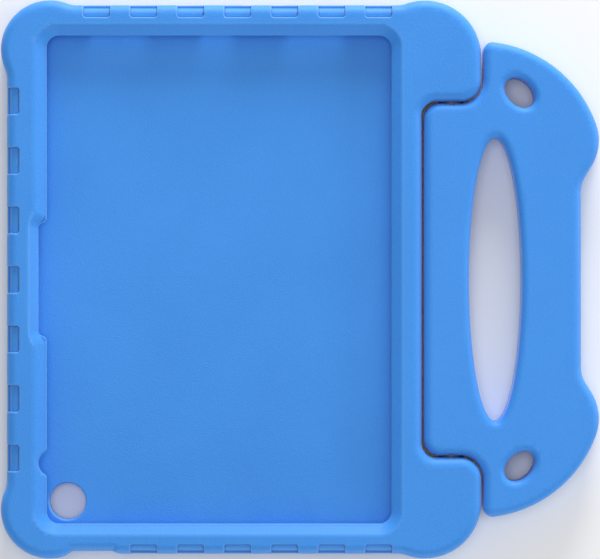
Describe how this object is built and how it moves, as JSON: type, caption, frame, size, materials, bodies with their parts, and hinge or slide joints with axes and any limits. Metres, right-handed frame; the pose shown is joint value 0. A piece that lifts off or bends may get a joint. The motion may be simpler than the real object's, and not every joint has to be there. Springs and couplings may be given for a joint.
{
  "type": "tablet case",
  "caption": "Child's foam tablet case: a thick shell with a deep front lip, grip slots and swollen corners, and a foam handle hinged between two tabs.",
  "frame": {"origin": "on the face that the case lies on, under the middle of the whole object's box", "axes": "+Z out of the screen side, +X from the case to its handle, +Y along the handle and its hinge"},
  "size_m": [0.2932, 0.2736, 0.022],
  "materials": {
    "shell_foam": "matte",
    "handle_foam": "matte",
    "pin_steel": "satin",
    "bush_plastic": "satin",
    "washer_plastic": "satin",
    "ring_rubber": "matte"
  },
  "bodies": {
    "case": {"case_shell": "shell_foam", "tab_socket_upper": "bush_plastic", "tab_socket_lower": "bush_plastic", "thrust_washer_upper": "washer_plastic", "thrust_washer_lower": "washer_plastic"},
    "handle": {"handle_body": "handle_foam", "handle_anchor_upper": "bush_plastic", "handle_anchor_lower": "bush_plastic", "pivot_pin_upper": "pin_steel", "pivot_pin_lower": "pin_steel", "friction_ring_upper": "ring_rubber", "friction_ring_lower": "ring_rubber"}
  },
  "joints": [
    {"name": "handle_fold", "type": "hinge", "parent": "case", "child": "handle", "pos_m": [0.0743, 0, 0.011], "axis": [0, 1, 0], "range_deg": [0, 100]}
  ]
}
